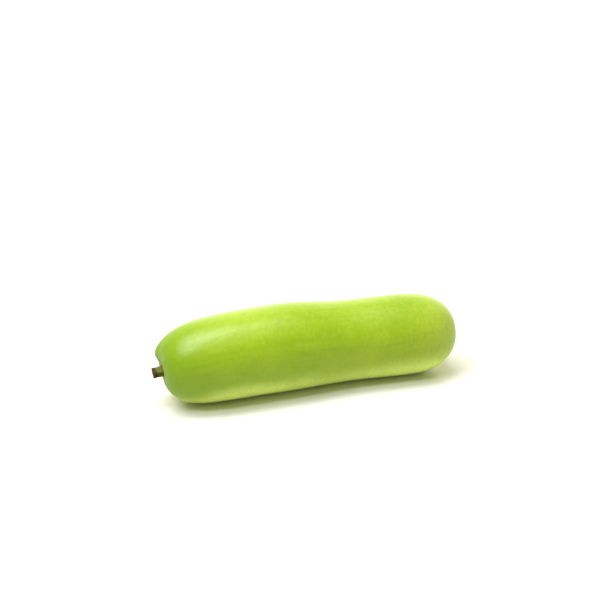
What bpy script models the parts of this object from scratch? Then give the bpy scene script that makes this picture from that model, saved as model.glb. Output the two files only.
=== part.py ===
"""A bottle gourd lying on its side: the fruit, and the stub of its cut stem.

Metres, +Z up. The gourd lies along X, its stem end towards -X. The origin is on the flat spot that the
fruit rests on, under its weight.
"""

import math

import bpy
import numpy as np
from mathutils import Matrix, Vector

MM = 0.001

# The fruit's stations, in millimetres: the distance from the stem end, the radius there, how far the
# middle lies to the side and how high it lies.
STATIONS_MM = (
    (0.0, 35.0, -1.5, 32.8),
    (42.0, 38.6, -4.0, 38.5),
    (86.0, 40.3, -2.0, 39.8),
    (128.0, 40.5, 0.0, 39.6),
    (171.0, 38.2, 0.5, 37.9),
    (213.0, 38.3, -2.0, 38.1),
    (251.0, 38.1, -5.0, 38.2),
    (285.0, 35.2, -7.0, 39.8),
)
LENGTH = STATIONS_MM[-1][0] * MM
WEIGHT_DISTANCE = 140.0 * MM

# Each end is a dome with a superellipse for its outline: a high power gives a blunt end.
STEM_DOME = 54.0 * MM
STEM_DOME_POWER = 3.3
BLOSSOM_DOME = 52.0 * MM
BLOSSOM_DOME_POWER = 2.7

# The skin swells in three faint lobes that twist along the fruit, and is a little oval. The twist is in
# radians a metre.
LOBE = 0.006
LOBE_START = 3.45
LOBE_TWIST = 9.0
OVAL = 0.004
OVAL_START = 1.1

# The skin is flattened where it rests, and rounds off over this height.
REST_BLEND = 0.5 * MM

# The stem end is drawn in around the stem in small folds, to a flat seat under the stem's foot.
DIMPLE_RADIUS = 17.0 * MM
DIMPLE_DEPTH = 4.0 * MM
FOLD_DEPTH = 0.9 * MM
SEAT_DEPTH = 4.6 * MM
SEAT_RADIUS = 6.2 * MM
SEAT_WALL = 0.15 * MM
STEM_GAP = 0.3 * MM

# The shoulder round the dimple is uneven: a lobe stands out on one side and a flatter place lies below.
# For each: its angle round the stem, its distance from the stem's axis, its reach and its height in mm.
SHOULDERS = (
    (0.93, 19.5, 8.0, 3.3),
    (-1.85, 25.0, 9.0, -1.3),
)

# The blossom end has a shallow dimple with a small raised scar in it.
SCAR_DIMPLE_RADIUS = 14.0 * MM
SCAR_DIMPLE_DEPTH = 1.4 * MM
SCAR_RADIUS = 3.4 * MM
SCAR_EDGE = 0.5 * MM
SCAR_HEIGHT = 0.6 * MM

# The stem's outline, in millimetres: the height above its foot, and the radius.
STEM_OUTLINE_MM = (
    (0.0, 5.2),
    (0.4, 5.55),
    (1.4, 5.5),
    (2.6, 5.05),
    (4.0, 4.7),
    (6.0, 4.55),
    (7.4, 4.45),
    (8.0, 4.2),
    (8.6, 4.45),
    (9.8, 4.65),
    (11.2, 4.6),
    (11.5, 4.3),
    (11.45, 3.6),
    (11.2, 1.9),
)
STEM_PITH_HEIGHT = 10.9 * MM
STEM_RIDGES = 5
STEM_RIDGE = 0.055
STEM_RIDGE_START = 0.6

# The stem leans down a little as it leaves the fruit, and its cut slants, higher on the lower side.
STEM_LEAN = 0.03
STEM_CUT_SLANT = 0.08
STEM_CUT_HEIGHT = 9.8 * MM

# Mesh fineness
SEGMENTS = 72
STEM_SEGMENTS = 40
DOME_RINGS = 13
BELLY_RINGS = 22
DIMPLE_RING_RADII_MM = (6.9, 8.0, 9.3, 10.8, 12.5, 14.4, 16.5, 19.0)
SCAR_RING_RADII_MM = (3.0, 3.5, 4.2, 5.4, 7.2, 9.4)

SKIN_COLOUR = (0.36, 0.55, 0.06)
STEM_COLOUR = (0.16, 0.15, 0.04)


def smooth_curve(places, values):
    """A natural cubic curve through the values: a function that gives the value and the slope."""
    gaps = np.diff(places)
    rises = np.diff(values, axis=0) / gaps[:, None]
    last = len(places) - 1
    matrix = np.eye(last + 1)
    change = np.zeros_like(values)
    for i in range(1, last):
        matrix[i, i - 1:i + 2] = gaps[i - 1], 2 * (gaps[i - 1] + gaps[i]), gaps[i]
        change[i] = 6 * (rises[i] - rises[i - 1])
    bend = np.linalg.solve(matrix, change)

    def curve(place):
        i = min(max(int(np.searchsorted(places, place)) - 1, 0), last - 1)
        gap = gaps[i]
        left = (places[i + 1] - place) / gap
        right = 1 - left
        value = left * values[i] + right * values[i + 1]
        value = value + ((left**3 - left) * bend[i] + (right**3 - right) * bend[i + 1]) * gap**2 / 6
        slope = rises[i] + ((1 - 3 * left**2) * bend[i] + (3 * right**2 - 1) * bend[i + 1]) * gap / 6
        return value, slope

    return curve


stations = np.array(STATIONS_MM) * MM
body_curve = smooth_curve(stations[:, 0], stations[:, 1:])
middle_side = float(body_curve(WEIGHT_DISTANCE)[0][1])


def section(distance):
    """The fruit's cross-section at a distance from the stem end: its radius and its frame.

    The frame's X runs to the side, its Y upwards and its Z along the fruit, towards the blossom end.
    """
    (radius, side, height), (_, side_slope, height_slope) = body_curve(distance)
    along = Vector((1.0, side_slope, height_slope)).normalized()
    across = Vector((0.0, 0.0, 1.0)).cross(along).normalized()
    upward = along.cross(across)
    middle = Vector((distance - WEIGHT_DISTANCE, side - middle_side, height))
    frame = Matrix((across, upward, along)).transposed().to_4x4()
    frame.translation = middle
    return radius, frame


def dome_distance(depth, power, share):
    """How far behind a dome's tip the dome has this share of its full radius."""
    return depth * (1 - (1 - share**power) ** (1 / power))


def swelling(distance, angle):
    """How much the skin stands out of a round section, as a share of the radius."""
    lobe = LOBE * math.cos(3 * angle + LOBE_START + LOBE_TWIST * distance)
    return 1 + lobe + OVAL * math.cos(2 * angle + OVAL_START)


def folds(angle):
    """The uneven folds of skin around the stem, between -1 and 1."""
    return 0.6 * math.cos(5 * angle + 0.4) + 0.4 * math.cos(8 * angle + 1.9)


def shoulder(radius, angle):
    """How far the shoulder round the stem stands out of the dome at a place."""
    rise = 0.0
    for at_angle, at_radius, reach, height in SHOULDERS:
        place = radius / MM
        gap_squared = place**2 + at_radius**2 - 2 * place * at_radius * math.cos(angle - at_angle)
        rise += height * MM * math.exp(-gap_squared / reach**2)
    return rise


def stem_inset(radius, angle):
    """How far the stem end is drawn in at a radius from the stem's axis."""
    inset = -shoulder(radius, angle)
    if radius < DIMPLE_RADIUS:
        share = (1 - (radius / DIMPLE_RADIUS) ** 2) ** 2
        inset += share * (DIMPLE_DEPTH + FOLD_DEPTH * folds(angle))
    return inset


def scar_inset(radius):
    """How far the blossom end is drawn in at a radius from its tip, less the raised scar."""
    inset = 0.0
    if radius < SCAR_DIMPLE_RADIUS:
        inset = SCAR_DIMPLE_DEPTH * (1 - (radius / SCAR_DIMPLE_RADIUS) ** 2) ** 2
    rise = min(max((SCAR_RADIUS + SCAR_EDGE / 2 - radius) / SCAR_EDGE, 0.0), 1.0)
    return inset - SCAR_HEIGHT * rise


def rested(point):
    """The point, with the skin flattened where it would go below the surface it rests on."""
    height = point.z
    if height < -REST_BLEND:
        height = 0.0
    elif height < REST_BLEND:
        height = (height + REST_BLEND) ** 2 / (4 * REST_BLEND)
    return Vector((point.x, point.y, height))


def fruit_ring(distance, radius, inset, lobed=True):
    """One ring of skin: its points, each drawn in along the fruit by inset(angle)."""
    _, frame = section(distance)
    points = []
    for step in range(SEGMENTS):
        angle = 2 * math.pi * step / SEGMENTS
        reach = radius * (swelling(distance, angle) if lobed else 1.0)
        local = Vector((reach * math.cos(angle), reach * math.sin(angle), inset(angle)))
        points.append(rested(frame @ local))
    return points


def stem_end_rings():
    """The seat under the stem, then the dimple, then the dome to its full girth."""
    girth, _ = section(0.0)
    rings = [
        fruit_ring(0.0, SEAT_RADIUS, lambda angle: SEAT_DEPTH, lobed=False),
        fruit_ring(0.0, SEAT_RADIUS + SEAT_WALL, lambda angle: stem_inset(SEAT_RADIUS, angle), lobed=False),
    ]
    for radius_mm in DIMPLE_RING_RADII_MM:
        radius = radius_mm * MM
        distance = dome_distance(STEM_DOME, STEM_DOME_POWER, radius / girth)
        rings.append(fruit_ring(distance, radius, lambda angle, at=radius: stem_inset(at, angle)))
    first = math.asin((radius / girth) ** (STEM_DOME_POWER / 2))
    for step in range(1, DOME_RINGS + 1):
        turn = first + (math.pi / 2 - first) * step / DOME_RINGS
        rings.append(dome_ring(STEM_DOME, STEM_DOME_POWER, turn, from_stem=True))
    return rings


def blossom_end_rings():
    """The dome from its full girth, then the dimple, then the scar."""
    girth, _ = section(LENGTH)
    last = math.asin((SCAR_RING_RADII_MM[-1] * MM / girth) ** (BLOSSOM_DOME_POWER / 2))
    rings = []
    for step in range(DOME_RINGS):
        turn = math.pi / 2 + (last - math.pi / 2) * step / DOME_RINGS
        rings.append(dome_ring(BLOSSOM_DOME, BLOSSOM_DOME_POWER, turn, from_stem=False))
    for radius_mm in reversed(SCAR_RING_RADII_MM):
        radius = radius_mm * MM
        distance = LENGTH - dome_distance(BLOSSOM_DOME, BLOSSOM_DOME_POWER, radius / girth)
        rings.append(fruit_ring(distance, radius, lambda angle, at=radius: -scar_inset(at)))
    return rings


def dome_ring(depth, power, turn, from_stem):
    """The ring of a dome at a turn of its superellipse, from 0 at the tip to a right angle at the girth."""
    behind = depth * (1 - max(math.cos(turn), 0.0) ** (2 / power))
    distance = behind if from_stem else LENGTH - behind
    girth, _ = section(distance)
    radius = girth * math.sin(turn) ** (2 / power)
    inset = (lambda angle: stem_inset(radius, angle)) if from_stem else (lambda angle: -scar_inset(radius))
    return fruit_ring(distance, radius, inset)


def belly_rings():
    """The rings between the two domes."""
    start, end = STEM_DOME, LENGTH - BLOSSOM_DOME
    rings = []
    for step in range(1, BELLY_RINGS + 1):
        distance = start + (end - start) * step / (BELLY_RINGS + 1)
        girth, _ = section(distance)
        rings.append(fruit_ring(distance, girth, lambda angle: 0.0))
    return rings


def closed_tube(name, rings, first_tip, last_tip):
    """A mesh skinned over rings of points, and closed by a fan at each end."""
    count = len(rings[0])
    points = [point for ring in rings for point in ring]
    start_tip, end_tip = len(points), len(points) + 1
    faces = []
    for row in range(len(rings) - 1):
        here, there = row * count, (row + 1) * count
        for i in range(count):
            j = (i + 1) % count
            faces.append((here + i, here + j, there + j, there + i))
    top = (len(rings) - 1) * count
    for i in range(count):
        j = (i + 1) % count
        faces.append((start_tip, j, i))
        faces.append((end_tip, top + i, top + j))
    mesh = bpy.data.meshes.new(name)
    mesh.from_pydata([tuple(point) for point in points + [first_tip, last_tip]], [], faces)
    mesh.validate()
    return mesh


def matter(name, colour, roughness):
    """A plain surface of one colour."""
    material = bpy.data.materials.new(name)
    material.use_nodes = True
    shader = material.node_tree.nodes["Principled BSDF"]
    shader.inputs["Base Color"].default_value = (*colour, 1.0)
    shader.inputs["Roughness"].default_value = roughness
    shader.inputs["Metallic"].default_value = 0.0
    return material


def placed(name, mesh, material, matrix):
    """The mesh as a smooth object of the scene."""
    mesh.materials.append(material)
    mesh.shade_smooth()
    thing = bpy.data.objects.new(name, mesh)
    thing.matrix_world = matrix
    bpy.context.scene.collection.objects.link(thing)
    return thing


def make_fruit():
    """The whole fruit, from the seat under its stem to the scar of its blossom."""
    rings = stem_end_rings() + belly_rings() + blossom_end_rings()
    _, stem_frame = section(0.0)
    _, blossom_frame = section(LENGTH)
    seat = stem_frame @ Vector((0.0, 0.0, SEAT_DEPTH))
    scar = blossom_frame @ Vector((0.0, 0.0, -scar_inset(0.0)))
    mesh = closed_tube("fruit", rings, seat, scar)
    return placed("fruit", mesh, matter("gourd skin", SKIN_COLOUR, 0.42), Matrix.Identity(4))


def make_stem():
    """The stub of the stem: a flared foot, five ridges, a shrunken ring and a cut end with its pith."""
    rings = []
    for height_mm, radius_mm in STEM_OUTLINE_MM:
        height, radius = height_mm * MM, radius_mm * MM
        ring = []
        for step in range(STEM_SEGMENTS):
            angle = 2 * math.pi * step / STEM_SEGMENTS
            reach = radius * (1 + STEM_RIDGE * math.cos(STEM_RIDGES * angle + STEM_RIDGE_START))
            across, down = reach * math.cos(angle), reach * math.sin(angle)
            slant = STEM_CUT_SLANT * down if height >= STEM_CUT_HEIGHT else 0.0
            ring.append(Vector((across, down + STEM_LEAN * height, height + slant)))
        rings.append(ring)
    foot = Vector((0.0, 0.0, 0.0))
    pith = Vector((0.0, STEM_LEAN * STEM_PITH_HEIGHT, STEM_PITH_HEIGHT))
    mesh = closed_tube("stem", rings, foot, pith)
    _, stem_frame = section(0.0)
    seated = Matrix.Translation((0.0, 0.0, SEAT_DEPTH - STEM_GAP)) @ Matrix.Rotation(math.pi, 4, "X")
    return placed("stem", mesh, matter("gourd stem", STEM_COLOUR, 0.8), stem_frame @ seated)


def clear_scene():
    for thing in list(bpy.data.objects):
        bpy.data.objects.remove(thing)


clear_scene()
make_fruit()
make_stem()
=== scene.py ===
"""The looks of the bottle gourd: its skin, its stem, the floor, the light and the camera."""

import math

import bmesh
import bpy
import numpy as np
from mathutils import Matrix, Vector, noise


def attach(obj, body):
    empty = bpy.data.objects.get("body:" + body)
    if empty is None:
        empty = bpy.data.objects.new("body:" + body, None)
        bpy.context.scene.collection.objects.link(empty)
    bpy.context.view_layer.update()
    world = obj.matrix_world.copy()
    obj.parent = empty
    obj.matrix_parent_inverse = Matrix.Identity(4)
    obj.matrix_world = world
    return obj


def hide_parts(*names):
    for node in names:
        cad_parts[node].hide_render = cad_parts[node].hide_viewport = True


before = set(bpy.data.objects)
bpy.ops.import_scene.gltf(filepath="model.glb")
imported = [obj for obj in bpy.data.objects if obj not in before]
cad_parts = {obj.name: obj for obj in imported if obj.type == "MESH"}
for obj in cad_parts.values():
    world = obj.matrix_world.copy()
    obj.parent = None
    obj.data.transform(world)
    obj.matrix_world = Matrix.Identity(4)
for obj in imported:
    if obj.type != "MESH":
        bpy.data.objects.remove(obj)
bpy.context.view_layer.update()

MM = 0.001

# The camera, in metres and degrees: where it aims, from how far and from which side
AIM = (-0.0012, 0.0151, 0.0778)
CAMERA_DISTANCE = 1.312
CAMERA_AZIMUTH = -20.1
CAMERA_ELEVATION = 20.0
LENS = 85.0
SENSOR_WIDTH = 36.0

# Light: an even sky and two glows low in it, one behind the fruit and one to its right as the camera sees
# it. For each glow: the azimuth of its middle in degrees, how narrow it is, and its strength.
SKY_TINT = (1.0, 0.99, 0.74)
AMBIENT = 0.37
GLOWS = (
    (CAMERA_AZIMUTH + 180.0, 3.0, 1.97),
    (CAMERA_AZIMUTH + 70.0, 3.0, 0.30),
)
# A white band along the horizon, behind the floor's far edge: how far it reaches up and down in degrees,
# the share of that where it is full, and its strength
HORIZON_REACH = 3.0
HORIZON_CORE = 0.4
HORIZON_GLOW = 1.0
HORIZON_TINT = (1.0, 1.0, 1.0)
# Softboxes, which all face the fruit. For each: where it hangs, its length and width in metres, and its
# power in watts. They are a little cooler than the sky.
SOFTBOXES = {
    "over_light": ((-0.28, 0.05, 1.40), 1.20, 0.50, 22.3),
    "key_light": ((-0.80, -0.40, 1.15), 0.50, 0.30, 6.8),
    "front_light": ((-0.20, -0.53, 1.28), 1.30, 0.15, 3.3),
}
SOFTBOX_COLOUR = (1.0, 1.0, 1.30)

# The floor, a little below the fruit's lowest point. It glows away from the fruit, so that it stays pale
# as far as it shows: from which distance, up to which one, and how much.
FLOOR_SIZE = 40.0
FLOOR_DROP = 0.05 * MM
FLOOR_COLOUR = (0.71, 0.71, 0.58)
FLOOR_ROUGHNESS = 0.35
FLOOR_GLOW_START = 0.36
FLOOR_GLOW_FULL = 1.10
FLOOR_GLOW = 0.90

# How the solids are read: the distance within which points are one, how unlike two triangles of one
# four-sided face may be, and by how many degrees a flat face may bend
WELD_DISTANCE = 0.002 * MM
QUAD_THRESHOLD = 0.7
FLAT_BEND = 0.5

# The skin's geometry: levels of subdivision, and the height and size of each kind of unevenness
SKIN_LEVELS = 2
SWELL_HEIGHT = 0.22 * MM
SWELL_SIZE = 26.0 * MM
RIPPLE_HEIGHT = 0.05 * MM
RIPPLE_SIZE = 7.0 * MM
# Ribs run along the fruit from the stem end, and wander a little
RIB_HEIGHT = 0.16 * MM
RIB_COUNT = 10
RIB_START = 8.0 * MM
RIB_FULL = 22.0 * MM
RIB_REACH = 60.0 * MM
RIB_WANDER = 4.0
RIB_WANDER_SIZE = 60.0 * MM
# Puckers run in to the stem. Their noise is read on a ring, so that it closes round the fruit.
PUCKER_HEIGHT = 0.20 * MM
PUCKER_REACH = 14.0 * MM
PUCKER_RING = 50.0 * MM
PUCKER_SIZE = 12.0 * MM
SCAR_ROUGHNESS = 0.16 * MM
SCAR_GRAIN_SIZE = 0.9 * MM
SCAR_INNER = 3.2 * MM
SCAR_OUTER = 4.2 * MM
# The skin stays as the solid has it up to a height, so that the fruit rests flat
REST_HEIGHT = 0.3 * MM
REST_CLEARANCE = 2.0 * MM
# The fruit's middle line is read at places along it, away from its ends
LINE_START = 36.0 * MM
LINE_STEP = 12.0 * MM
# Each kind of noise is read at a place of its own, so that no two are alike
NOISE_SHIFTS = {"swells": 1.0, "ripples": 3.0, "ribs": 5.0, "scar": 7.0, "puckers": 9.0}

# The stem's geometry. Places along it are shares of its height, and places on its cut are shares of
# its radius.
STEM_ROWS = 90
STEM_SEGMENTS = 120
CUT_ROWS = 20
STEM_SINK = 1.2 * MM
STEM_RADIUS = 4.65 * MM
FOOT_FLARE = 1.35 * MM
FOOT_REACH = 0.26
COLLAR_FLARE = 0.75 * MM
COLLAR_REACH = 0.075
RING_SHRINK = 0.34 * MM
RING_PLACE = 0.72
RING_WIDTH = 0.035
RIM_SWELL = 0.16 * MM
RIM_PLACE = 0.86
RIM_WIDTH = 0.09
STEM_RIDGES = 5
RIDGE_SHARE = 0.065
RIDGE_TURN = 0.6
RIDGE_TWIST = 0.5
RIDGE_LOSS = 0.4
DRY_FROM = 0.55
DRY_FULL = 0.75
FIBRE_HEIGHT = 0.10 * MM
FIBRE_WAVES = (7.0, 7.0, 1.5)
WRINKLE_HEIGHT = 0.16 * MM
WRINKLE_WAVES = (3.0, 3.0, 15.0)
CUT_WRINKLE_HEIGHT = 0.096 * MM
CUT_DISH = 0.45 * MM
DISH_POWER = 0.7
BUNDLES = 10
BUNDLE_RING = 0.62
BUNDLE_SIZE = 0.10
OUTER_RING = 0.84
OUTER_SIZE = 0.05
BUNDLE_HEIGHT = 0.12 * MM

# Skin colours, as linear light
SKIN_GREEN = (0.247, 0.383, 0.006)
SKIN_PALE = (0.345, 0.466, 0.020)
SKIN_DEEP = (0.156, 0.280, 0.002)
SKIN_FLECK = (0.480, 0.590, 0.080)
# Paler below: partly a paler ground spot, partly painted light thrown up from the floor
SKIN_BELLY_AND_BOUNCE_LIGHT = (0.820, 0.980, 0.225)
SKIN_BLOSSOM_END = (0.480, 0.590, 0.080)
# Painted shade in the folds round the stem
FOLD_SHADE_GREEN = (0.095, 0.225, 0.003)
SCAR_BROWN = (0.270, 0.175, 0.070)
SCAR_DARK = (0.080, 0.045, 0.018)
SCAR_RIM = (0.330, 0.330, 0.110)

# Stem colours, as linear light
STEM_GREEN = (0.038, 0.105, 0.001)
STEM_OLIVE = (0.200, 0.205, 0.032)
STEM_BROWN = (0.072, 0.030, 0.002)
STEM_DARK = (0.028, 0.020, 0.003)
STEM_CUT = (0.150, 0.076, 0.010)
STEM_PITH = (0.240, 0.145, 0.040)

# Noise in the skin. For each: its features a metre, its detail and its roughness.
CLOUDS = (16.0, 3.0, 0.5)
PATCHES = (75.0, 4.0, 0.6)
DENTS = (210.0, 2.0, 0.5)
MOTTLE = (240.0, 3.0, 0.6)
SCAR_FRAY = (700.0, 3.0, 0.5)
LEATHER = (900.0, 3.0, 0.6)
CORK = (1500.0, 4.0, 0.7)
# Noise drawn out along the fruit. For each: its stretch round and along the fruit, detail and roughness.
STREAKS = ((7.0, 7.0, 2.4), 5.0, 0.62)
STROKES = ((7.0, 7.0, 95.0), 3.0, 0.6)
DOTS_A_METRE = 420.0
NOISE_MIDDLE = 0.5

# Tints of the skin by its noise. For each: the colour, how far from its middle the noise is where the tint
# is full, and how strong it is there.
STREAK_TINTS = ((SKIN_PALE, 0.28, 0.44), (SKIN_DEEP, -0.24, 0.36))
PATCH_TINTS = ((SKIN_PALE, 0.25, 0.30), (SKIN_DEEP, -0.22, 0.14))
MARK_TINTS = ((SKIN_FLECK, 0.16, 0.23), (SKIN_DEEP, -0.16, 0.26))

# Fades. For each: the value where it starts, the value where it ends, and how much there is at the start
# and at the end. First by noise:
CLOUD_FADE = (0.35, 0.68, 0.0, 1.0)
CLOUD_SHARE = 0.5
DOT_FADE = (0.22, 0.08, 0.0, 0.20)
CORK_TINT_FADE = (0.40, 0.62, 0.0, 1.0)
SHEEN_FADE = (0.35, 0.70, 0.31, 0.40)
# painted shade in the folds round the stem, by their noise
CREASE_SHADE_FADE = (-0.9, 0.7, 0.20, 0.85)
# by the distance along the fruit from its stem end:
BLOSSOM_END_FADE = (225.0 * MM, 292.0 * MM, 0.0, 0.65)
# the pale belly rises towards the blossom end: painted light on the lower side there
BELLY_BOUNCE_RISE_FADE = (120.0 * MM, 270.0 * MM, 0.0, 8.5 * MM)
MARKS_ALONG_FADE = (150.0 * MM, 250.0 * MM, 0.6, 1.0)
# by the distance from the scar:
STREAKS_BY_SCAR_FADE = (6.0 * MM, 50.0 * MM, 0.25, 1.0)
STROKES_BY_SCAR_FADE = (22.0 * MM, 50.0 * MM, 0.0, 0.6)
MARKS_BY_SCAR_FADE = (8.0 * MM, 40.0 * MM, 0.4, 1.0)
SCAR_HALO_FADE = (11.0 * MM, 5.0 * MM, 0.0, 0.40)
SCAR_RIM_FADE = (4.8 * MM, 4.0 * MM, 0.0, 0.75)
SCAR_CORK_FADE = (3.6 * MM, 3.0 * MM, 0.0, 1.0)
SCAR_MIDDLE_FADE = (1.4 * MM, 0.7 * MM, 0.0, 1.0)
SCAR_DULL_FADE = (6.0 * MM, 3.8 * MM, 0.0, 0.35)
# by the distance from the stem's foot:
# painted shade: deeper green on the upper shoulder at the stem end
SHOULDER_SHADE_FADE = (80.0 * MM, 18.0 * MM, 0.0, 0.84)
AROUND_STEM_FADE = (15.0 * MM, 6.5 * MM, 0.0, 1.0)
DOWN_FADE = (40.0 * MM, 12.0 * MM, 0.0, 0.15)
# and by the height over the fruit's middle line:
# the pale belly, partly painted light thrown up from the floor
BELLY_AND_BOUNCE_FADE = (-10.0 * MM, -37.0 * MM, 0.0, 0.97)
# the shoulder's painted shade, on the upper side only
UPPER_SHADE_FADE = (-34.0 * MM, -10.0 * MM, 0.0, 1.0)

# How far the clouds shift the edge of the pale belly, partly painted bounce light, and how far the scar's
# edge frays
BELLY_AND_BOUNCE_WANDER = 6.0 * MM
SCAR_FRAY_REACH = 2.2 * MM
# Fine relief of the skin: its height, and how much of it is the finer leather
SKIN_RELIEF = 0.18 * MM
LEATHER_SHARE = 0.35

# What the skin reflects, how far light goes into it, and the sheen of its down
SKIN_SPECULAR = 0.38
SKIN_SPECULAR_TINT = (1.0, 1.0, 0.70, 1.0)
SKIN_SUBSURFACE = 0.15
SKIN_SUBSURFACE_RADIUS = (0.9, 1.2, 0.35)
SKIN_SUBSURFACE_SCALE = 5.0 * MM
SKIN_SHEEN = 0.02
SKIN_SHEEN_ROUGHNESS = 0.45
SKIN_SHEEN_TINT = (0.90, 1.0, 0.50, 1.0)

# Noise in the stem, as for the skin
STEM_FIBRES = ((9.0, 9.0, 1.6), 4.0, 0.65)
STEM_FRAY = (500.0, 3.0, 0.5)
STEM_PITTING = (1400.0, 3.0, 0.6)
STEM_PORES = (2600.0, 3.0, 0.6)

# Fades on the stem, as for the skin: by how far up a ridge a place lies, by the fibres, by how low it
# lies round the stem, by its share of the stem's height and by how far it is from the ring
# The olive on the ridges and the top is painted light; the greener grooves and low side are painted shade
RIDGE_PAINTED_LIGHT_FADE = (-0.3, 0.9, 0.0, 1.0)
FIBRE_OLIVE_FADE = (0.48, 0.75, 0.0, 0.45)
FIBRE_BROWN_FADE = (0.60, 0.30, 0.0, 0.45)
FIBRE_DULL_FADE = (0.3, 0.7, 0.62, 0.85)
# painted light on the stem's top
TOP_PAINTED_LIGHT_FADE = (-0.2, -0.9, 0.0, 0.55)
DRY_BROWN_FADE = (0.72, 0.84, 0.0, 0.92)
RING_DARK_FADE = (0.060, 0.010, 0.0, 0.55)
# How far the edge of the dried part frays, and how much further it reaches on the low side, as painted
# shade there
DRY_FRAY = 0.25
DRY_SHADE_SLANT = 0.11
# Fades on the cut: by the share of its radius, by its pores, by its bundles and by how low a place lies
CUT_FADE = (0.995, 0.965, 0.0, 1.0)
PITH_FADE = (0.50, 0.36, 0.0, 1.0)
RIND_FADE = (0.86, 0.97, 0.0, 0.70)
PORE_FADE = (0.40, 0.65, 0.0, 0.35)
BUNDLE_FADE = (0.20, 0.55, 0.0, 0.80)
# painted light: olive towards the top of the cut
CUT_TOP_PAINTED_LIGHT_FADE = (-0.1, -0.9, 0.0, 0.45)
# Fine relief of the stem: its height and strength, and the share of the pitting in it
STEM_RELIEF = 0.3 * MM
STEM_RELIEF_STRENGTH = 0.9
PITTING_SHARE = 0.5
STEM_SPECULAR = 0.20


def node(tree, kind, inputs=None, **settings):
    """A shader node with its settings, and with each input set or linked."""
    made = tree.nodes.new(kind)
    for key, value in settings.items():
        setattr(made, key, value)
    for key, value in (inputs or {}).items():
        if isinstance(value, bpy.types.NodeSocket):
            tree.links.new(value, made.inputs[key])
        else:
            made.inputs[key].default_value = value
    return made


def blend(tree, factor, first, second):
    """The colour between two, by a factor from 0 to 1."""
    made = node(tree, "ShaderNodeMix", data_type="RGBA", clamp_factor=True)
    for index, value in ((0, factor), (6, first), (7, second)):
        if isinstance(value, bpy.types.NodeSocket):
            tree.links.new(value, made.inputs[index])
        elif index == 0:
            made.inputs[index].default_value = value
        else:
            made.inputs[index].default_value = (*value, 1.0)
    return made.outputs[2]


def remap(tree, value, low, high, to_low=0.0, to_high=1.0):
    """The value carried smoothly from one range to another."""
    made = node(
        tree, "ShaderNodeMapRange",
        {"Value": value, "From Min": low, "From Max": high, "To Min": to_low, "To Max": to_high},
        interpolation_type="SMOOTHSTEP",
    )
    return made.outputs[0]


def maths(tree, operation, first, second=0.0):
    """One sum on numbers."""
    return node(tree, "ShaderNodeMath", {0: first, 1: second}, operation=operation).outputs[0]


def between(tree, share, first, second):
    """The value between two, by a share from 0 to 1."""
    step = maths(tree, "SUBTRACT", second, first)
    return maths(tree, "ADD", first, maths(tree, "MULTIPLY", step, share))


def cloud(tree, place, scale, detail, roughness):
    """Smooth noise at a scale, in features a metre."""
    made = node(
        tree, "ShaderNodeTexNoise",
        {"Vector": place, "Scale": scale, "Detail": detail, "Roughness": roughness},
    )
    return made.outputs[0]


def drawn_out(tree, grain, stretch, detail, roughness):
    """Noise along the grain, stretched differently round a piece and along it."""
    place = node(tree, "ShaderNodeVectorMath", {0: grain, 1: stretch}, operation="MULTIPLY").outputs[0]
    return cloud(tree, place, 1.0, detail, roughness)


def offset(tree, noise_value, reach):
    """How far noise shifts an edge, either way: noise of 1 shifts it by half the reach."""
    return maths(tree, "MULTIPLY", maths(tree, "SUBTRACT", noise_value, NOISE_MIDDLE), reach)


def layered(tree, colour, *layers):
    """The colour under tints. For each: the value that drives it, its fade and its colour."""
    for value, fade, tint in layers:
        colour = blend(tree, remap(tree, value, *fade), colour, tint)
    return colour


def tinted(tree, colour, pattern, tints, share=1.0):
    """The colour with a pattern in it: one tint where the noise is high, another where it is low."""
    for tint, reach, amount in tints:
        strength = remap(tree, pattern, NOISE_MIDDLE, NOISE_MIDDLE + reach, 0.0, amount)
        colour = blend(tree, maths(tree, "MULTIPLY", strength, share), colour, tint)
    return colour


def attribute(tree, name):
    """A vector stored on the mesh."""
    return node(tree, "ShaderNodeAttribute", attribute_name=name).outputs["Vector"]


def parts_of(tree, name):
    """The three numbers of a vector stored on the mesh."""
    return node(tree, "ShaderNodeSeparateXYZ", {0: attribute(tree, name)}).outputs


def matter(name):
    """A new material, its tree and its shader."""
    material = bpy.data.materials.new(name)
    material.use_nodes = True
    tree = material.node_tree
    return material, tree, tree.nodes["Principled BSDF"]


def bumped(tree, shader, relief, height, strength=1.0):
    """Fine relief on the shader, of a height in metres."""
    bump = node(tree, "ShaderNodeBump", {"Height": relief, "Distance": height, "Strength": strength})
    tree.links.new(bump.outputs[0], shader.inputs["Normal"])


def set_values(shader, values):
    """Numbers and colours that are the same all over a surface."""
    for name, value in values.items():
        shader.inputs[name].default_value = value


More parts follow.
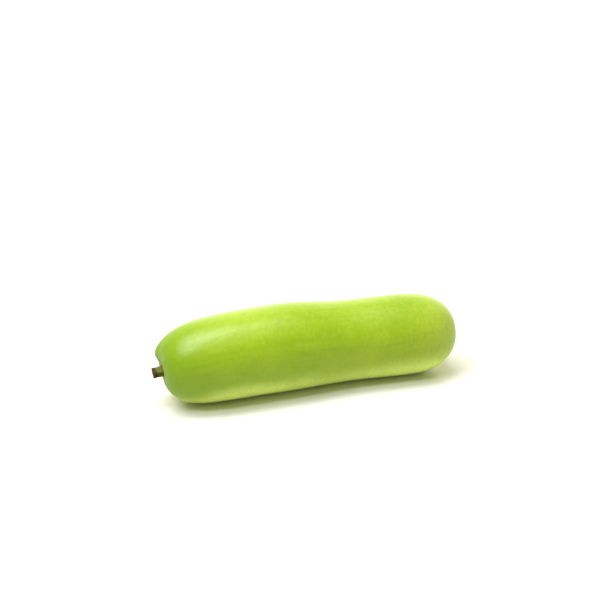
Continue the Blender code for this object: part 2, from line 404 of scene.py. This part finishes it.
def skin_ground(tree, place, grain):
    """The skin's greens: clouds, streaks and patches, paler at the blossom end and, partly as painted
    bounce light, below.
    """
    _, from_scar, _ = parts_of(tree, "ends")
    up, _, along = parts_of(tree, "lie")
    clouds = remap(tree, cloud(tree, place, *CLOUDS), *CLOUD_FADE)
    colour = blend(tree, maths(tree, "MULTIPLY", clouds, CLOUD_SHARE), SKIN_GREEN, SKIN_PALE)
    colour = layered(tree, colour, (along, BLOSSOM_END_FADE, SKIN_BLOSSOM_END))
    streaks = drawn_out(tree, grain, *STREAKS)
    streaks = between(tree, remap(tree, from_scar, *STREAKS_BY_SCAR_FADE), NOISE_MIDDLE, streaks)
    colour = tinted(tree, colour, streaks, STREAK_TINTS)
    colour = tinted(tree, colour, cloud(tree, place, *PATCHES), PATCH_TINTS)
    # Painted bounce light: the belly is paler than the skin's own ground spot
    belly_and_bounce = maths(tree, "ADD", up, offset(tree, clouds, BELLY_AND_BOUNCE_WANDER))
    belly_and_bounce = maths(tree, "SUBTRACT", belly_and_bounce, remap(tree, along, *BELLY_BOUNCE_RISE_FADE))
    return layered(tree, colour, (belly_and_bounce, BELLY_AND_BOUNCE_FADE, SKIN_BELLY_AND_BOUNCE_LIGHT))


def skin_marks(tree, colour, place, grain, mottle):
    """Small marks over the green: mottle and strokes along the fruit, and pale dots."""
    _, from_scar, _ = parts_of(tree, "ends")
    _, _, along = parts_of(tree, "lie")
    strokes = drawn_out(tree, grain, *STROKES)
    marks = between(tree, remap(tree, from_scar, *STROKES_BY_SCAR_FADE), mottle, strokes)
    by_place = remap(tree, along, *MARKS_ALONG_FADE)
    by_place = maths(tree, "MULTIPLY", by_place, remap(tree, from_scar, *MARKS_BY_SCAR_FADE))
    colour = tinted(tree, colour, marks, MARK_TINTS, by_place)
    dots = node(tree, "ShaderNodeTexVoronoi", {"Vector": place, "Scale": DOTS_A_METRE, "Randomness": 1.0})
    return layered(tree, colour, (dots.outputs["Distance"], DOT_FADE, SKIN_FLECK))


def skin_stem_end(tree, colour):
    """Painted shade: deeper green on the upper shoulder, and in the folds round the stem."""
    from_stem, _, fold = parts_of(tree, "ends")
    up, _, _ = parts_of(tree, "lie")
    # painted shade on the upper shoulder
    shoulder_shade = remap(tree, from_stem, *SHOULDER_SHADE_FADE)
    shoulder_shade = maths(tree, "MULTIPLY", shoulder_shade, remap(tree, up, *UPPER_SHADE_FADE))
    colour = blend(tree, shoulder_shade, colour, SKIN_DEEP)
    # painted shade in the folds round the stem
    around_stem = remap(tree, from_stem, *AROUND_STEM_FADE)
    crease_shade = maths(tree, "MULTIPLY", around_stem, remap(tree, fold, *CREASE_SHADE_FADE))
    return blend(tree, crease_shade, colour, FOLD_SHADE_GREEN)


def skin_scar(tree, colour, place, scar_edge):
    """The blossom's scar: a halo and a pale rim in the skin round brown cork."""
    crumbs = cloud(tree, place, *CORK)
    cork = layered(
        tree, SCAR_DARK,
        (crumbs, CORK_TINT_FADE, SCAR_BROWN),
        (scar_edge, SCAR_MIDDLE_FADE, SCAR_DARK),
    )
    return layered(
        tree, colour,
        (scar_edge, SCAR_HALO_FADE, SKIN_DEEP),
        (scar_edge, SCAR_RIM_FADE, SCAR_RIM),
        (scar_edge, SCAR_CORK_FADE, cork),
    )


def make_skin_material():
    """Fresh gourd skin: satin green, clouded, faintly streaked along the fruit and finely flecked."""
    material, tree, shader = matter("gourd_skin")
    place = node(tree, "ShaderNodeTexCoord").outputs["Object"]
    grain = attribute(tree, "grain")
    from_stem, from_scar, _ = parts_of(tree, "ends")
    mottle = cloud(tree, place, *MOTTLE)
    fray = offset(tree, cloud(tree, place, *SCAR_FRAY), SCAR_FRAY_REACH)
    scar_edge = maths(tree, "ADD", from_scar, fray)

    colour = skin_ground(tree, place, grain)
    colour = skin_marks(tree, colour, place, grain, mottle)
    colour = skin_stem_end(tree, colour)
    colour = skin_scar(tree, colour, place, scar_edge)
    tree.links.new(colour, shader.inputs["Base Color"])

    roughness = remap(tree, mottle, *SHEEN_FADE)
    roughness = maths(tree, "ADD", roughness, remap(tree, scar_edge, *SCAR_DULL_FADE))
    roughness = maths(tree, "ADD", roughness, remap(tree, from_stem, *DOWN_FADE))
    tree.links.new(roughness, shader.inputs["Roughness"])

    leather = maths(tree, "MULTIPLY", cloud(tree, place, *LEATHER), LEATHER_SHARE)
    dents = cloud(tree, place, *DENTS)
    bumped(tree, shader, maths(tree, "ADD", leather, dents), SKIN_RELIEF)
    set_values(shader, {
        "Specular IOR Level": SKIN_SPECULAR,
        "Specular Tint": SKIN_SPECULAR_TINT,
        "Subsurface Weight": SKIN_SUBSURFACE,
        "Subsurface Radius": SKIN_SUBSURFACE_RADIUS,
        "Subsurface Scale": SKIN_SUBSURFACE_SCALE,
        "Sheen Weight": SKIN_SHEEN,
        "Sheen Roughness": SKIN_SHEEN_ROUGHNESS,
        "Sheen Tint": SKIN_SHEEN_TINT,
    })
    return material


def stem_side(tree, place, fibres):
    """The stem's side: green, olive on its ridges and its top as painted light, with painted shade in the
    green grooves, dried brown towards its cut.
    """
    height, ridge, low = parts_of(tree, "stalk")
    fray = maths(tree, "MULTIPLY", cloud(tree, place, *STEM_FRAY), DRY_FRAY)
    # painted shade: the dried brown reaches further on the low side
    dried = maths(tree, "ADD", maths(tree, "ADD", height, fray), maths(tree, "MULTIPLY", low, DRY_SHADE_SLANT))
    from_ring = maths(tree, "ABSOLUTE", maths(tree, "SUBTRACT", height, RING_PLACE))
    return layered(
        tree, STEM_GREEN,
        # painted light: olive on the ridges and on the top
        (ridge, RIDGE_PAINTED_LIGHT_FADE, STEM_OLIVE),
        (fibres, FIBRE_OLIVE_FADE, STEM_OLIVE),
        (low, TOP_PAINTED_LIGHT_FADE, STEM_OLIVE),
        (dried, DRY_BROWN_FADE, STEM_BROWN),
        (fibres, FIBRE_BROWN_FADE, STEM_BROWN),
        (from_ring, RING_DARK_FADE, STEM_DARK),
    )


def stem_cut(tree, place):
    """The stem's cut: pith, pores, dark bundles of fibres, a brown rind, and olive towards its top as
    painted light.
    """
    _, _, low = parts_of(tree, "stalk")
    radial, bundle, _ = parts_of(tree, "cut")
    return layered(
        tree, STEM_CUT,
        (radial, PITH_FADE, STEM_PITH),
        (cloud(tree, place, *STEM_PORES), PORE_FADE, STEM_BROWN),
        (bundle, BUNDLE_FADE, STEM_DARK),
        (radial, RIND_FADE, STEM_BROWN),
        # painted light towards the top of the cut
        (maths(tree, "MULTIPLY", low, radial), CUT_TOP_PAINTED_LIGHT_FADE, STEM_OLIVE),
    )


def make_stem_material():
    """A ridged stem: green at its foot, olive on its ridges and top as painted light, dried brown towards
    its cut.
    """
    material, tree, shader = matter("gourd_stem")
    place = node(tree, "ShaderNodeTexCoord").outputs["Object"]
    fibres = drawn_out(tree, attribute(tree, "grain"), *STEM_FIBRES)
    radial, _, _ = parts_of(tree, "cut")
    colour = layered(tree, stem_side(tree, place, fibres), (radial, CUT_FADE, stem_cut(tree, place)))
    tree.links.new(colour, shader.inputs["Base Color"])
    tree.links.new(remap(tree, fibres, *FIBRE_DULL_FADE), shader.inputs["Roughness"])
    pitting = maths(tree, "MULTIPLY", cloud(tree, place, *STEM_PITTING), PITTING_SHARE)
    bumped(tree, shader, maths(tree, "ADD", fibres, pitting), STEM_RELIEF, STEM_RELIEF_STRENGTH)
    set_values(shader, {"Specular IOR Level": STEM_SPECULAR})
    return material


def welded(cad_node):
    """A copy of the CAD node's mesh, with points that lie together made one."""
    mesh = bmesh.new()
    mesh.from_mesh(cad_node.data)
    bmesh.ops.remove_doubles(mesh, verts=mesh.verts, dist=WELD_DISTANCE)
    return mesh


def squared_copy(cad_node):
    """The CAD node's mesh as one closed skin of four-sided faces, as far as it has them."""
    mesh = welded(cad_node)
    bmesh.ops.join_triangles(
        mesh, faces=mesh.faces, angle_face_threshold=QUAD_THRESHOLD, angle_shape_threshold=QUAD_THRESHOLD,
    )
    return mesh


def largest_flat(cad_node):
    """The middle and the normal of a node's largest flat face."""
    mesh = welded(cad_node)
    bmesh.ops.dissolve_limit(mesh, angle_limit=math.radians(FLAT_BEND), verts=mesh.verts, edges=mesh.edges)
    flat = max(mesh.faces, key=lambda face: face.calc_area())
    middle, normal = flat.calc_center_bounds(), flat.normal.copy()
    mesh.free()
    return middle, normal


def middle_line(points, foot, axis, tip):
    """The fruit's middle line, as its side and height at places along X, from the stem to the scar."""
    line = [foot + axis * LINE_STEP, foot]
    place = foot[0] + LINE_START
    while place < tip[0] - LINE_START:
        near = points[np.abs(points[:, 0] - place) < LINE_STEP / 2]
        line.append((place, *((near.min(axis=0) + near.max(axis=0))[1:] / 2)))
        place += LINE_STEP
    return np.array(line + [tip])


def object_of(name, mesh, material):
    """A smooth-shaded object of the scene."""
    mesh.shade_smooth()
    thing = bpy.data.objects.new(name, mesh)
    thing.data.materials.clear()
    thing.data.materials.append(material)
    bpy.context.scene.collection.objects.link(thing)
    return thing


def subdivided(bm, name, levels):
    """The mesh rounded by subdivision."""
    mesh = bpy.data.meshes.new(name)
    bm.to_mesh(mesh)
    bm.free()
    thing = bpy.data.objects.new(name, mesh)
    bpy.context.scene.collection.objects.link(thing)
    rounding = thing.modifiers.new("rounding", "SUBSURF")
    rounding.levels = levels
    rounding.render_levels = levels
    graph = bpy.context.evaluated_depsgraph_get()
    fine = bpy.data.meshes.new_from_object(thing.evaluated_get(graph))
    fine.name = name
    bpy.data.objects.remove(thing)
    return fine


def smooth_step(value, low, high):
    """0 below low, 1 above high and a smooth rise between."""
    share = np.clip((value - low) / (high - low), 0.0, 1.0)
    return share * share * (3 - 2 * share)


def noise_at(points, size, kind):
    """One kind of smooth noise at each point, with features of a size in metres."""
    shift = Vector((NOISE_SHIFTS[kind],) * 3)
    return np.array([noise.noise(Vector(point) / size + shift) for point in points])


def vectors_of(layer, name):
    """A vector for each of a mesh's points."""
    values = np.empty(len(layer) * 3, np.float32)
    layer.foreach_get(name, values)
    return values.reshape(-1, 3).astype(float)


def store(mesh, name, values):
    """A vector kept on each of the mesh's points, for the shader."""
    layer = mesh.attributes.new(name, "FLOAT_VECTOR", "POINT")
    layer.data.foreach_set("vector", np.asarray(values, np.float32).ravel())


def skin_lift(points, angle, from_stem, from_scar, puckers):
    """How far each point of the skin stands out from the solid."""
    wander = RIB_WANDER * noise_at(points, RIB_WANDER_SIZE, "ribs")
    ribs = np.cos(RIB_COUNT * angle + wander) * np.exp(-from_stem / RIB_REACH)
    lift = SWELL_HEIGHT * noise_at(points, SWELL_SIZE, "swells")
    lift += RIPPLE_HEIGHT * noise_at(points, RIPPLE_SIZE, "ripples")
    lift += RIB_HEIGHT * ribs * smooth_step(from_stem, RIB_START, RIB_FULL)
    lift += PUCKER_HEIGHT * puckers * np.exp(-(from_stem / PUCKER_REACH) ** 2)
    on_scar = 1 - smooth_step(from_scar, SCAR_INNER, SCAR_OUTER)
    lift += SCAR_ROUGHNESS * noise_at(points, SCAR_GRAIN_SIZE, "scar") * on_scar
    return lift * smooth_step(points[:, 2], REST_HEIGHT, REST_CLEARANCE)


def make_skin(material, stem_foot, stem_axis):
    """The fruit's skin: the CAD solid rounded, with its swells, ripples, ribs and puckers."""
    mesh = subdivided(squared_copy(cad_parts["fruit"]), "gourd_fruit", SKIN_LEVELS)
    points = vectors_of(mesh.vertices, "co")
    normals = vectors_of(mesh.vertex_normals, "vector")

    foot = np.array(stem_foot)
    scar_tip = points[points[:, 0].argmax()]
    line = middle_line(points, foot, np.array(stem_axis), scar_tip)
    side = points[:, 1] - np.interp(points[:, 0], line[:, 0], line[:, 1])
    up = points[:, 2] - np.interp(points[:, 0], line[:, 0], line[:, 2])
    angle = np.arctan2(up, side)
    along = points[:, 0] - points[:, 0].min()
    from_stem = np.linalg.norm(points - foot, axis=1)
    from_scar = np.linalg.norm(points - scar_tip, axis=1)
    ring = np.stack([PUCKER_RING * np.cos(angle), PUCKER_RING * np.sin(angle), from_stem], axis=1)
    puckers = noise_at(ring, PUCKER_SIZE, "puckers")

    points += normals * skin_lift(points, angle, from_stem, from_scar, puckers)[:, None]
    mesh.vertices.foreach_set("co", points.astype(np.float32).ravel())
    store(mesh, "grain", np.stack([np.cos(angle), np.sin(angle), along / along.max()], axis=1))
    store(mesh, "ends", np.stack([from_stem, from_scar, puckers], axis=1))
    store(mesh, "lie", np.stack([up, side, along], axis=1))
    mesh.update()
    return object_of("gourd_fruit", mesh, material)


def hump(value, middle, width):
    """A smooth hump of height 1."""
    return math.exp(-(((value - middle) / width) ** 2))


def stem_radius(share):
    """The stem's radius along it: collar and flared foot, waist, shrunken ring, rim of the cut."""
    radius = STEM_RADIUS + FOOT_FLARE * hump(share, 0.0, FOOT_REACH)
    radius += COLLAR_FLARE * hump(share, 0.0, COLLAR_REACH)
    radius -= RING_SHRINK * hump(share, RING_PLACE, RING_WIDTH)
    return radius + RIM_SWELL * hump(share, RIM_PLACE, RIM_WIDTH)


def bundle_at(angle, radial):
    """How much of a bundle of fibres shows at a place on the cut, from 0 to 1."""
    wave = 0.5 + 0.5 * math.cos(BUNDLES * angle)
    inner = hump(radial, BUNDLE_RING, BUNDLE_SIZE) * wave ** 2
    outer = hump(radial, OUTER_RING, OUTER_SIZE) * (1 - wave) ** 2
    return max(inner, outer)


def stem_point(angle, share, radial, length):
    """A place on the stem, with its axis along Z, and how far it lies up a ridge, from -1 to 1."""
    ridge = math.cos(STEM_RIDGES * angle + RIDGE_TURN + RIDGE_TWIST * share)
    across = Vector((math.cos(angle), math.sin(angle), 0.0))
    place = Vector((across.x, across.y, share))
    fibre = noise.noise(place * Vector(FIBRE_WAVES))
    wrinkle = noise.noise(place * Vector(WRINKLE_WAVES))
    dried = float(smooth_step(share, DRY_FROM, DRY_FULL))
    free = 1 - hump(share, 0.0, COLLAR_REACH)
    reach = stem_radius(share) * (1 + RIDGE_SHARE * ridge * free * (1 - RIDGE_LOSS * dried))
    reach += FIBRE_HEIGHT * fibre + WRINKLE_HEIGHT * dried * wrinkle
    height = share * length + CUT_WRINKLE_HEIGHT * wrinkle * dried * radial
    height -= CUT_DISH * (1 - radial) ** DISH_POWER
    height += BUNDLE_HEIGHT * bundle_at(angle, radial)
    return across * reach * radial + Vector((0.0, 0.0, height)), ridge


def make_stem(material, foot, axis, length):
    """The stub of the stem: five soft ridges, wrinkles where it has dried, and a fibrous cut face."""
    across = axis.cross(Vector((0.0, 0.0, 1.0))).normalized()
    frame_matrix = Matrix((across, axis.cross(across), axis)).transposed().to_4x4()
    frame_matrix.translation = foot
    first = -STEM_SINK / length
    places = [(first + (1.0 - first) * index / STEM_ROWS, 1.0) for index in range(STEM_ROWS + 1)]
    places += [(1.0, 1.0 - index / (CUT_ROWS + 1)) for index in range(1, CUT_ROWS + 1)]

    bm = bmesh.new()
    rows, stalk, grain, cut = [], [], [], []
    for share, radial in places:
        row = []
        for step in range(STEM_SEGMENTS):
            angle = 2 * math.pi * step / STEM_SEGMENTS
            point, ridge = stem_point(angle, share, radial, length)
            row.append(bm.verts.new(point))
            stalk.append((share, ridge, math.sin(angle)))
            grain.append((math.cos(angle), math.sin(angle), share))
            cut.append((radial, bundle_at(angle, radial), 0.0))
        rows.append(row)
    for lower, upper in zip(rows, rows[1:]):
        for i in range(STEM_SEGMENTS):
            j = (i + 1) % STEM_SEGMENTS
            bm.faces.new((lower[i], lower[j], upper[j], upper[i]))
    bm.faces.new(list(reversed(rows[0])))
    bm.faces.new(rows[-1])
    mesh = bpy.data.meshes.new("gourd_stem")
    bm.to_mesh(mesh)
    bm.free()
    store(mesh, "stalk", stalk)
    store(mesh, "grain", grain)
    store(mesh, "cut", cut)
    mesh.transform(frame_matrix)
    return object_of("gourd_stem", mesh, material)


def make_floor():
    """A plain pale floor."""
    material, tree, shader = matter("floor")
    place = node(tree, "ShaderNodeTexCoord").outputs["Object"]
    away = node(tree, "ShaderNodeVectorMath", {0: place}, operation="LENGTH").outputs["Value"]
    glow = remap(tree, away, FLOOR_GLOW_START, FLOOR_GLOW_FULL, 0.0, FLOOR_GLOW)
    tree.links.new(glow, shader.inputs["Emission Strength"])
    set_values(shader, {
        "Emission Color": (1.0, 1.0, 1.0, 1.0),
        "Base Color": (*FLOOR_COLOUR, 1.0),
        "Roughness": FLOOR_ROUGHNESS,
    })
    bpy.ops.mesh.primitive_plane_add(size=FLOOR_SIZE, location=(0.0, 0.0, -FLOOR_DROP))
    floor = bpy.context.object
    floor.name = "floor"
    floor.data.materials.append(material)


def towards(azimuth, elevation):
    """The unit vector of a direction, in degrees: azimuth 0 is -Y, and a negative one is to the left."""
    azimuth, elevation = math.radians(azimuth), math.radians(elevation)
    level = math.cos(elevation)
    return Vector((math.sin(azimuth) * level, -math.cos(azimuth) * level, math.sin(elevation)))


def make_sky():
    """Light from an even sky with broad glows low in it, and a white band along the horizon."""
    world = bpy.data.worlds.new("studio")
    bpy.context.scene.world = world
    world.use_nodes = True
    tree = world.node_tree
    heading = node(tree, "ShaderNodeTexCoord").outputs["Generated"]
    strength = AMBIENT
    for azimuth, power, amount in GLOWS:
        middle = tuple(towards(azimuth, 0.0))
        facing = node(tree, "ShaderNodeVectorMath", {0: heading, 1: middle}, operation="DOT_PRODUCT")
        spread = maths(tree, "POWER", maths(tree, "MAXIMUM", facing.outputs["Value"], 0.0), power)
        strength = maths(tree, "ADD", maths(tree, "MULTIPLY", spread, amount), strength)
    height = node(tree, "ShaderNodeSeparateXYZ", {0: heading}).outputs[2]
    from_horizon = maths(tree, "ABSOLUTE", height)
    reach = math.sin(math.radians(HORIZON_REACH))
    band = remap(tree, from_horizon, reach, HORIZON_CORE * reach, 0.0, HORIZON_GLOW)
    back = tree.nodes["Background"]
    tree.links.new(blend(tree, band, SKY_TINT, HORIZON_TINT), back.inputs["Color"])
    tree.links.new(maths(tree, "MAXIMUM", strength, band), back.inputs["Strength"])


def make_softbox(name, place, length, width, power):
    """A rectangular soft light that faces the fruit, its length along the fruit's."""
    light = bpy.data.lights.new(name, "AREA")
    light.shape = "RECTANGLE"
    light.size = length
    light.size_y = width
    light.energy = power
    light.color = SOFTBOX_COLOUR
    lamp = bpy.data.objects.new(name, light)
    away = (Vector(place) - Vector(AIM)).normalized()
    along = (Vector((1.0, 0.0, 0.0)) - away * away.x).normalized()
    lamp.matrix_world = Matrix((along, away.cross(along), away)).transposed().to_4x4()
    lamp.location = place
    bpy.context.scene.collection.objects.link(lamp)


def make_camera():
    """The photograph's view."""
    back = towards(CAMERA_AZIMUTH, CAMERA_ELEVATION)
    camera = bpy.data.objects.new("camera", bpy.data.cameras.new("camera"))
    camera.data.lens = LENS
    camera.data.sensor_width = SENSOR_WIDTH
    camera.location = Vector(AIM) + back * CAMERA_DISTANCE
    camera.rotation_euler = (-back).to_track_quat("-Z", "Y").to_euler()
    bpy.context.scene.collection.objects.link(camera)
    bpy.context.scene.camera = camera


def make_gourd():
    """The fruit and its stem, each in place of its CAD solid."""
    foot, into_fruit = largest_flat(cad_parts["stem"])
    axis = -into_fruit
    reach = max((Vector(v.co) - foot).dot(axis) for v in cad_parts["stem"].data.vertices)
    fruit = make_skin(make_skin_material(), foot, axis)
    stem = make_stem(make_stem_material(), foot, axis, reach)
    for piece, cad_node, finish in ((fruit, "fruit", "skin"), (stem, "stem", "stem")):
        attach(piece, "root")
        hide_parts(cad_node)


make_gourd()
make_floor()
make_sky()
for name, (place, length, width, power) in SOFTBOXES.items():
    make_softbox(name, place, length, width, power)
make_camera()
bpy.context.scene.view_settings.view_transform = "Standard"
bpy.context.scene.view_settings.look = "None"
